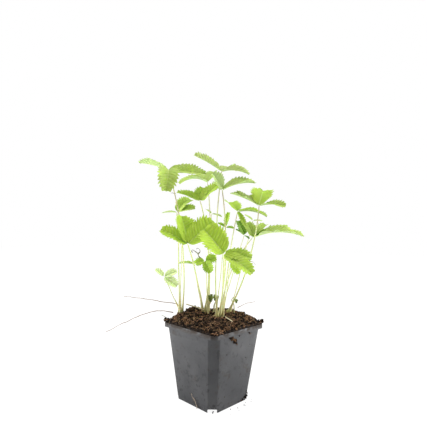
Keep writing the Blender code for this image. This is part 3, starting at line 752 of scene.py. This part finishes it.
stalk_skin = stalk_look()
routes, radii = [], []
for name, (crown, foot, bow, radius, hub, _) in LEAVES.items():
    route = stalk_route(crown, foot, bow, hub)
    routes.append(to_row(route))
    radii.append(radius)
    stem = skin(f"stem_{name}", [stalk_tube(routes[-1], radius)], stalk_skin, bend_angle=70)
    fit(stem, "stalk", f"stalk_{name}")
hair_look, hair_tree, hair_shader = finish("stalk_hair", 0.6)
silver = clouds(hair_tree, place_on(hair_tree), 300)
hair_tree.links.new(blend_colours(hair_tree, ramp(hair_tree, silver, 0.35, 0.65),
                                  HAIR_DULL, HAIR_SILVER),
                    hair_shader.inputs["Base Color"])
fit(skin("stalk_hairs", fine_hairs(routes, radii), hair_look, bend_angle=180), "stalk")

# ------------------------------------------------------------------------------- leaves
# Each leaf has two or three toothed leaflets on one hub. A blade is thin and soft, folded
# along its midrib, quilted between straight side veins that each run out to a tooth.

LEAF_FOLD = math.radians(24)
LEAFLET_START = 1.1                    # mm from the hub's middle to the blade
BLADE_HALF = 0.17                      # half of a blade's thickness at the midrib, mm
TOOTH_POINT = 0.70                     # where in its stretch of margin a tooth has its point
FIRST_TEETH, TOOTH_EVERY = 2.6, 5.5    # teeth of a leaflet, and mm of its length for one more
VEIN_START, VEIN_END = 1.35, 0.72      # powers of u: a vein's ends on the midrib and margin
TOOTH_DEPTH, DEEPER = 1.1, 0.085       # mm, and mm more for each mm of width
SMALL_LEAFLET = 16                     # mm long: below this a blade has fewer points
QUILT, RIPPLE = 0.021, 0.040           # heights as shares of the blade's width
LEAF_TONES = {                         # -1 washed pale, 0 fresh yellow-green, 1 deep, 2 dark; darker than deep is painted shade
    "top_left": 0.45, "high_middle": 0.35, "top": 0.15, "under_top": 0.35, "top_right": 0.5,
    "right_middle": 0.75, "far_right": 0.45, "small_dark": 2.0, "middle": 0.7,
    "middle_left": 0.5, "front_left": 1.0, "front_middle": 0.75, "small_front": 1.35,
    "small_left": 1.2, "low_left": -0.9, "small_middle": 1.2, "small_right": 0.9,
    "back_middle": 0.3, "back_right": 0.3, "bud_left": 0.1,
}
LEAFLET_TONES = {("top_left", 0): -0.75, ("under_top", 0): -0.25, ("top_right", 0): 0.1,
                 ("top_right", 1): 0.8, ("front_middle", 0): 0.95}


def half_width(along):
    """Leaflet outline: along^0.5 * (1 - along)^0.42, 1 at its widest and 0 at both ends."""
    return along ** 0.5 * (1 - along) ** 0.42 / 0.5303


def blade_points(leaflet, along, reach, lift):
    """Points of a leaflet from its hub, in mm, from arrays of place along and reach aside.

    The midrib is an arc over its chord. The blade rises to both sides of it by the fold,
    the whole section turns about the midrib by roll and twist, and lift is added on the
    section's upper side.
    """
    heading, climb, roll, length, width, bend, twist = leaflet
    heading, climb, roll, bend, twist = (math.radians(v) for v in (heading, climb, roll, bend, twist))
    ahead = np.array((math.cos(heading) * math.cos(climb), math.sin(heading) * math.cos(climb),
                      math.sin(climb)))
    level = np.array((-math.sin(heading), math.cos(heading), 0.0))
    above = np.cross(ahead, level)
    side = level * math.cos(roll) + above * math.sin(roll)
    above = above * math.cos(roll) - level * math.sin(roll)
    angle = (bend * (along - 0.5))[..., None]
    run = (np.sin(angle) + math.sin(bend / 2)) / bend
    rise = (np.cos(angle) - math.cos(bend / 2)) / bend
    normal = ahead * np.sin(angle) + above * np.cos(angle)
    turn = (twist * along)[..., None]
    turned = side * np.cos(turn) + normal * np.sin(turn)
    normal = normal * np.cos(turn) - side * np.sin(turn)
    aside = turned * (reach * math.cos(LEAF_FOLD))[..., None]
    raised = normal * (np.abs(reach) * math.sin(LEAF_FOLD) + lift)[..., None]
    return ahead * (LEAFLET_START + (length - LEAFLET_START) * run) + above * (length * rise) + aside + raised


def blade(leaflet, hub, seed):
    """A closed, thin, toothed blade as a tube of flat rings, with its point attributes.

    Rows follow the side veins: the row u leaves the midrib at u^1.35 and meets the margin
    at u^0.72. The margin is the outline, pushed out to a point once per vein and back in
    to a notch between veins: depth * (1 + 0.35 sin(2.3 * teeth * u)) * (point - 0.6), where
    point rises from 0 to 1 at the tooth's tip and falls again. Between veins the blade is
    lifted by (1 - cos) / 2 of the place between them. Each ring runs over the top to one
    margin and back below.
    """
    length, width = leaflet[3:5]
    teeth = int(round(FIRST_TEETH + length / TOOTH_EVERY))
    per_tooth = 8 if length > SMALL_LEAFLET else 6
    u = np.linspace(0, 1, teeth * per_tooth + 1)
    u[-1] = 0.997
    u = u[:, None]
    ridge = np.linspace(-1, 1, 17 if length > SMALL_LEAFLET else 11)
    s = np.sign(ridge) * np.abs(ridge) ** 1.15
    q = np.abs(s)[None]
    phase = (u * teeth) % 1.0
    point = np.where(phase < TOOTH_POINT, (phase / TOOTH_POINT) ** 0.7,
                     ((1 - phase) / (1 - TOOTH_POINT)) ** 0.9)
    margin = u ** VEIN_END
    ease = np.clip((margin - 0.14) / 0.2, 0, 1) * (0.6 + 0.4 * np.clip((1 - margin) / 0.15, 0, 1))
    tooth = (TOOTH_DEPTH + DEEPER * width) * ease * (1 + 0.35 * np.sin(2.3 * u * teeth + seed))
    half = np.maximum(0.5 * width * half_width(margin), 0.5 * (1 - u) ** 0.3)
    slope = np.gradient(half[:, 0], margin[:, 0] * length)[:, None]
    steep = np.sqrt(1 + slope ** 2)
    push = q ** 2.6 * tooth * (point - 0.6)
    reach = np.sign(s) * (q * half + push / steep)
    along = u ** VEIN_START * (1 - q) + margin * q - push * slope / steep / length
    along = along + q ** 2.6 * tooth * (point - 0.5) * 0.35 / length
    along = np.clip(along, 0, 1.02)
    quilt = 0.5 - 0.5 * np.cos(2 * np.pi * (phase - TOOTH_POINT))
    lift = QUILT * width * quilt * np.sqrt(q * (1 - q) * 4) * ease.clip(0.3)
    ripple = waves(np.stack(np.broadcast_arrays(along * length, reach, 0 * along + seed), -1), 17, seed, 2)
    lift = lift + RIPPLE * width * ripple * q ** 1.5
    shape = blade_points(leaflet, along, reach, lift)
    down, across = np.gradient(shape, axis=0), np.gradient(shape, axis=1)
    normal = np.cross(down, across)
    normal /= np.maximum(np.linalg.norm(normal, axis=2), 1e-9)[..., None]
    # the blade's upper side is where the fold rises
    upper = blade_points(leaflet, along, reach, lift + 1) - shape
    normal *= np.sign(np.einsum("ijk,ijk->ij", normal, upper))[..., None]
    thick = BLADE_HALF * (1 - 0.55 * q ** 2) + 0 * u
    rib = 0.42 * np.exp(-(s / 0.07) ** 2) * (1 - 0.8 * u) + 0.12 * (1 - quilt) ** 6 * (1 - q) * (q > 0.03)
    top = shape + normal * (thick - 0.35 * rib)[..., None]
    below = shape - normal * (thick + rib)[..., None]
    ring = np.concatenate([top, below[:, ::-1]], 1)
    layer = np.zeros(top.shape[:2])
    facts = {"rib_count": u * teeth + layer, "rib_side": s + layer, "tip": q ** 6 * point * ease + layer}
    facts = {key: np.concatenate([fact, fact[:, ::-1]], 1) for key, fact in facts.items()}
    facts["underside"] = np.concatenate([layer, layer + 1], 1)
    return to_row(ring + np.array(hub, float)), facts


def veined_blade():
    """Shader group: colours of a leaf blade from its attributes, with a relief height. Its Dark colour is
    painted shade for tones near and over 1.
    """
    group = bpy.data.node_groups.new("veined_blade", "ShaderNodeTree")
    for name in ("Fresh", "Deep", "Dark", "Pale", "Vein", "Under", "Tip"):
        group.interface.new_socket(name, in_out="INPUT", socket_type="NodeSocketColor")
    for name, kind in (("Colour", "Color"), ("Height", "Float")):
        group.interface.new_socket(name, in_out="OUTPUT", socket_type=f"NodeSocket{kind}")
    given = group.nodes.new("NodeGroupInput").outputs
    out = group.nodes.new("NodeGroupOutput").inputs

    def fact(name):
        return node(group, "ShaderNodeAttribute", {"attribute_name": name}).outputs["Fac"]

    def worked(kind, a, b=0.0):
        return combine(group, kind, a, b)

    place = place_on(group)
    phase = worked("FRACT", worked("ADD", fact("rib_count"), 0.5 - TOOTH_POINT))
    from_vein = worked("ABSOLUTE", worked("SUBTRACT", phase, 0.5))
    from_mid = worked("ABSOLUTE", fact("rib_side"))
    side_vein = worked("MULTIPLY", ramp(group, from_vein, 0.085, 0.015), ramp(group, from_mid, 1.05, 0.55))
    midrib = ramp(group, from_mid, 0.05, 0.02)
    vein = worked("MAXIMUM", worked("MULTIPLY", side_vein, 0.55), midrib)
    tone = fact("tone")
    mottle = clouds(group, place, 120, 3)
    mood = worked("ADD", tone, worked("MULTIPLY", worked("SUBTRACT", mottle, 0.5), 0.8))
    green = blend_colours(group, ramp(group, mood, 0.0, 1.0), given["Fresh"], given["Deep"])
    # tones from 0.9 to 2 blend towards the Dark colour: painted shade on leaves that lie in shade, such as
    # small_dark
    green = blend_colours(group, ramp(group, mood, 0.9, 2.0), green, given["Dark"])
    green = blend_colours(group, ramp(group, tone, 0.0, -1.0), green, given["Pale"])
    green = blend_colours(group, vein, green, given["Vein"])
    at_tip = worked("MULTIPLY", ramp(group, fact("tip"), 0.72, 1.0), 0.7)
    green = blend_colours(group, at_tip, green, given["Tip"])
    under = blend_colours(group, worked("MULTIPLY", vein, 0.6), given["Under"], given["Vein"])
    group.links.new(blend_colours(group, fact("underside"), green, under), out["Colour"])
    cells = node(group, "ShaderNodeTexVoronoi", {"feature": "DISTANCE_TO_EDGE"},
                 Vector=place, Scale=950).outputs[0]
    net = ramp(group, cells, 0.0, 0.12)
    group.links.new(worked("SUBTRACT", worked("MULTIPLY", net, 0.12), vein), out["Height"])
    return group


def leaf_blades(name, hub, leaflets, tones, seed, material):
    """The leaflets of one leaf as one piece, each with its tone and a seed of its own."""
    rings, facts = zip(*(blade(leaflet, hub, seed + k) for k, leaflet in enumerate(leaflets)))
    gathered = {key: [fact[key] for fact in facts] for key in facts[0]}
    gathered.update(each_tone(rings, tones))
    return skin(name, list(rings), material, gathered, bend_angle=60)


def leaf_look(name, group, **colours):
    """Soft matt leaf that lets light through, with the veined_blade group's colours."""
    material, tree, shader = finish(name, 0.62, Subsurface_Weight=0.15, Subsurface_Scale=0.0012,
                                    Specular_IOR_Level=0.22)
    shader.inputs["Subsurface Radius"].default_value = (0.7, 1.0, 0.25)
    veins = tree.nodes.new("ShaderNodeGroup")
    veins.node_tree = group
    for key, value in colours.items():
        veins.inputs[key.capitalize()].default_value = (*value, 1)
    tree.links.new(veins.outputs["Colour"], shader.inputs["Base Color"])
    relief(tree, shader, veins.outputs["Height"], 0.00012)
    return material


blade_veins = veined_blade()
# dark is the painted shade colour for the leaves with tones near and over 1
leaf_green = leaf_look("leaf_green", blade_veins, fresh=(0.36, 0.44, 0.140),
                       deep=(0.40, 0.565, 0.050), dark=(0.12, 0.24, 0.016),
                       pale=(0.67, 0.78, 0.43), vein=(0.57, 0.68, 0.22),
                       under=(0.40, 0.52, 0.20), tip=(0.20, 0.21, 0.06))
for number, (name, (_, _, _, _, hub, leaflets)) in enumerate(LEAVES.items()):
    tones = [LEAFLET_TONES.get((name, k), LEAF_TONES[name]) for k in range(len(leaflets))]
    leaf = leaf_blades(f"blades_{name}", hub, leaflets, tones, 10 * number, leaf_green)
    fit(leaf, "leaf", f"leaf_{name}")

# ------------------------------------------------------- shoots, runners and dry straws
# Young leaves still folded in the crowns, dried runners that hang over the rim, and two
# straws that lie on the soil.

SHOOTS = {
    "shoot_left": (1.3, ((-7, 4, 101), (-7.5, 5, 107), (-6, 4.5, 112), (-4, 3, 116))),
    "shoot_middle": (1.2, ((-0.5, 8.5, 101), (0, 9.5, 107), (0.5, 8.5, 112), (2.5, 7, 116))),
    "shoot_hooked": (0.7, ((25.5, 7, 102.5), (25, 7, 112), (22, 6, 118), (24.5, 6, 121.5),
                           (26.5, 6, 119))),
}
RUNNERS = {
    "runner_low": (0.55, ((-51, 6, 101), (-57, 3, 103), (-66, 0, 104), (-85, -4, 101),
                          (-105, -6, 92), (-131, -6, 79))),
    "runner_high": (0.5, ((-48, 20, 108.5), (-57, 20, 110), (-70, 20, 112), (-87, 20, 114),
                          (-101, 20, 116), (-116, 20, 117))),
    "runner_back": (0.4, ((31, 31, 103.5), (42, 35, 108), (55, 38, 111))),
}
STRAWS = {
    "straw_back": (0.7, ((-35.5, 13.5, 110.3), (-24, 9.5, 108.0), (-12.5, 5, 105.4))),
    "straw_front": (0.6, ((14, -14, 101.5), (18, -19, 100.2), (22, -25, 99))),
}


def smooth_route(points, per_span=8):
    """A curve through a few points. Between b and c, with a before and d after them, it is
    the cubic that leaves b along c - a and reaches c along d - b (a Catmull-Rom curve)."""
    route = np.array(points, float)
    ends = np.vstack([2 * route[0] - route[1], route, 2 * route[-1] - route[-2]])
    t = (np.arange(per_span) / per_span)[:, None]
    spans = [0.5 * (2 * b + (c - a) * t + (2 * a - 5 * b + 4 * c - d) * t ** 2
                    + (3 * b - a - 3 * c + d) * t ** 3)
             for a, b, c, d in zip(ends, ends[1:], ends[2:], ends[3:])]
    return np.vstack([*spans, route[-1:]])


def dry_look(name, low, high):
    """Dead plant fibre, streaked between two browns."""
    material, tree, shader = finish(name, 0.7)
    place = place_on(tree)
    grain = clouds(tree, place, 350, 4)
    tree.links.new(blend_colours(tree, ramp(tree, grain, 0.3, 0.7), low, high), shader.inputs["Base Color"])
    relief(tree, shader, grain, 0.0002)
    return material


runner_skin = dry_look("dried_runner", (0.20, 0.115, 0.075), (0.36, 0.25, 0.17))
straw_skin = dry_look("dry_straw", (0.42, 0.34, 0.18), (0.72, 0.64, 0.42))
for name, (radius, points) in RUNNERS.items():
    route = smooth_route(points)
    route += 0.35 * np.stack([waves(route, 22, k) for k in (1, 2, 3)], -1)
    taper = radius * np.linspace(1, 0.55, len(route)) * (1 + 0.12 * waves(route, 6, 9))
    fit(skin(f"{name}_stem", [carry(to_row(route), taper, 8)], runner_skin, bend_angle=80), "runner", name)
for name, (radius, points) in STRAWS.items():
    route = smooth_route(points)
    turn = np.linspace(0, 2 * np.pi, 10, endpoint=False)
    flat = 0.55 + 0.6 * np.abs(np.cos(turn))
    strip = carry(to_row(route), radius, 10, flat[None])
    fit(skin(f"{name}_strip", [strip], straw_skin, bend_angle=60), "straw", name)
for name, (radius, points) in SHOOTS.items():
    route = smooth_route(points)
    taper = radius * np.linspace(1, 0.5, len(route))
    fit(skin(f"{name}_stem", [carry(to_row(route), taper, 10)], stalk_skin, bend_angle=80), "stalk", name)

YOUNG_TONE = 0.7
YOUNG_LEAFLETS = {                      # hub, then leaflets as in the leaf table
    "left": ((-4.4, 3.2, 114.5), ((150, 68, -30, 10, 5.0, 14, 0), (60, 78, 20, 11, 5.5, 10, 0),
                                  (-20, 60, 30, 9, 4.5, 16, 0))),
    "middle": ((2.1, 7.2, 114.6), ((120, 72, -20, 10, 5.0, 12, 0), (20, 64, 30, 9, 4.5, 16, 0))),
    "hooked": ((26.3, 6, 119.8), ((-60, -58, 20, 6, 3.5, 20, 0), (30, -40, -20, 5, 3.0, 20, 0))),
}
young_green = leaf_look("young_leaf_green", blade_veins, fresh=(0.22, 0.26, 0.050),
                        deep=(0.12, 0.16, 0.030), dark=(0.07, 0.10, 0.020),
                        pale=(0.45, 0.52, 0.22), vein=(0.36, 0.40, 0.14),
                        under=(0.30, 0.34, 0.14), tip=(0.14, 0.10, 0.04))
for number, (name, (hub, leaflets)) in enumerate(YOUNG_LEAFLETS.items()):
    tones = [YOUNG_TONE] * len(leaflets)
    fit(leaf_blades(f"young_blades_{name}", hub, leaflets, tones, 300 + 10 * number, young_green), "leaf")

# Dead bits that still hang on: a curled brown leaf by the small front one, a tendril on
# the front leaf, the stub of a lost leaflet, and a twig on the rim.
DRY_BITS = {
    "scrap_a": (0.75, ((-17, -21.5, 172), (-19.5, -22, 174), (-20.5, -22, 177), (-23.5, -22, 179.5),
                       (-27, -22, 181.5), (-28, -22, 179.5), (-26.5, -22, 178.5))),
    "scrap_b": (0.6, ((-20.5, -22, 177), (-18, -22, 179.5), (-19, -22, 182.5), (-21.8, -22, 183.5),
                      (-22.5, -22, 182))),
    "tendril": (0.28, ((31, -52, 175.5), (35, -53.5, 175), (39, -54.5, 172.5), (42, -55, 171.5),
                       (44.5, -55, 168.7))),
    "stub": (0.35, ((-50.8, 2, 250.4), (-53, 2, 250.0), (-55, 2, 250.9), (-57, 2, 250.6))),
    "rim_twig": (0.45, ((-59.5, 3, 95.4), (-61.7, 4, 96.6), (-64, 5, 97.0), (-66, 5, 98.2))),
}
dead_look = dry_look("dead_leaf", (0.055, 0.060, 0.020), (0.20, 0.20, 0.065))
bits = []
for number, (radius, points) in enumerate(DRY_BITS.values()):
    route = smooth_route(points)
    turn = np.linspace(0, 2 * np.pi, 10, endpoint=False)
    flat = 0.45 + 0.75 * np.abs(np.cos(turn + 0.6 * number))
    ruffle = 1 + 0.3 * waves(route, 4, 70 + number)
    bits.append(carry(to_row(route), radius * ruffle * np.linspace(1, 0.45, len(route)), 10, flat[None]))
fit(skin("dry_bits", bits, dead_look, bend_angle=70), "runner")

# ------------------------------------------------------------- floor, light and camera
# A pale sweep under broad soft light, with the camera a little above the plant's middle.

CAMERA_SPOT = (-1.3, -480.7, 209.6)    # mm, in the plant's axes
CAMERA_PITCH, CAMERA_ROLL = math.radians(1.96), math.radians(1.26)
SENSOR_WIDTH, FOCAL_LENGTH, LENS_SHIFT = 36, 32.47588, -0.0035
PAPER_TONES = ((0.86, 0.86, 0.86), (0.92, 0.92, 0.92))
PAPER_SEEN, PAPER_GLOW = (0.12, 0.12, 0.12), 0.955    # as the camera sees it: almost shadowless
ROOM_LIGHT, ROOM_SEEN = 0.46, 1.0
SOFTBOXES = {                          # place and aim in mm, side in metres, watts
    "left_box": ((-1000, 90, 380), (0, 0, 120), 0.8, 14),
    "right_box": ((1000, 90, 380), (0, 0, 120), 0.8, 14),
    "left_low_box": ((-330, 60, 30), (0, 0, 40), 0.2, 0.55),
    "right_low_box": ((330, 60, 30), (0, 0, 40), 0.2, 0.50),
    "top_box": ((0, 60, 1200), (0, 0, 120), 1.0, 9),
}
floor_mesh = bpy.data.meshes.new("floor")
floor_mesh.from_pydata([(-3, -3, 0), (3, -3, 0), (3, 3, 0), (-3, 3, 0)], [], [(0, 1, 2, 3)])
floor = bpy.data.objects.new("floor", floor_mesh)
bpy.context.scene.collection.objects.link(floor)
paper, paper_tree, paper_shader = finish("floor_paper", 0.9, Specular_IOR_Level=0.0)
seen = node(paper_tree, "ShaderNodeLightPath").outputs["Is Camera Ray"]
fibres_in_paper = clouds(paper_tree, place_on(paper_tree), 60, 3)
paper_tone = blend_colours(paper_tree, fibres_in_paper, *PAPER_TONES)
paper_tree.links.new(blend_colours(paper_tree, seen, paper_tone, PAPER_SEEN),
                     paper_shader.inputs["Base Color"])
paper_shader.inputs["Emission Color"].default_value = (1, 1, 1, 1)
paper_tree.links.new(combine(paper_tree, "MULTIPLY", seen, PAPER_GLOW),
                     paper_shader.inputs["Emission Strength"])
paper.cycles.emission_sampling = "NONE"        # the glow lights nothing
floor_mesh.materials.append(paper)

world = bpy.data.worlds.new("studio")
bpy.context.scene.world = world
world.use_nodes = True
sky = world.node_tree
seen = node(sky, "ShaderNodeLightPath").outputs["Is Camera Ray"]
level = node(sky, "ShaderNodeMapRange", i0=seen, i3=ROOM_LIGHT, i4=ROOM_SEEN)
sky.nodes["Background"].inputs["Color"].default_value = (1, 1, 1, 1)
sky.links.new(level.outputs[0], sky.nodes["Background"].inputs["Strength"])


def softbox(name, spot, target, size, power):
    """A square area light aimed from one spot to another, in mm on the plant's axes."""
    lamp = bpy.data.lights.new(name, "AREA")
    lamp.size, lamp.energy = size, power
    holder = bpy.data.objects.new(name, lamp)
    start, end = to_row(np.array(spot, float)) * MM, to_row(np.array(target, float)) * MM
    way = Vector(end - start)
    holder.location = start
    holder.rotation_euler = way.to_track_quat("-Z", "Y").to_euler()
    bpy.context.scene.collection.objects.link(holder)


for name, facts in SOFTBOXES.items():
    softbox(name, *facts)

camera_data = bpy.data.cameras.new("camera")
camera_data.sensor_width, camera_data.lens = SENSOR_WIDTH, FOCAL_LENGTH
camera_data.shift_x = LENS_SHIFT
camera = bpy.data.objects.new("camera", camera_data)
bpy.context.scene.collection.objects.link(camera)
bpy.context.scene.camera = camera
forward = Vector(to_row(np.array((0, math.cos(CAMERA_PITCH), math.sin(CAMERA_PITCH)))))
right = Vector(to_row(np.array((1.0, 0, 0))))
up = right.cross(forward)
tilted = right * math.cos(CAMERA_ROLL) + up * math.sin(CAMERA_ROLL)
up = up * math.cos(CAMERA_ROLL) - right * math.sin(CAMERA_ROLL)
frame_matrix = Matrix((tilted, up, -forward)).transposed().to_4x4()
frame_matrix.translation = Vector(to_row(np.array(CAMERA_SPOT)) * MM)
camera.matrix_world = frame_matrix
bpy.context.scene.view_settings.view_transform = "Standard"
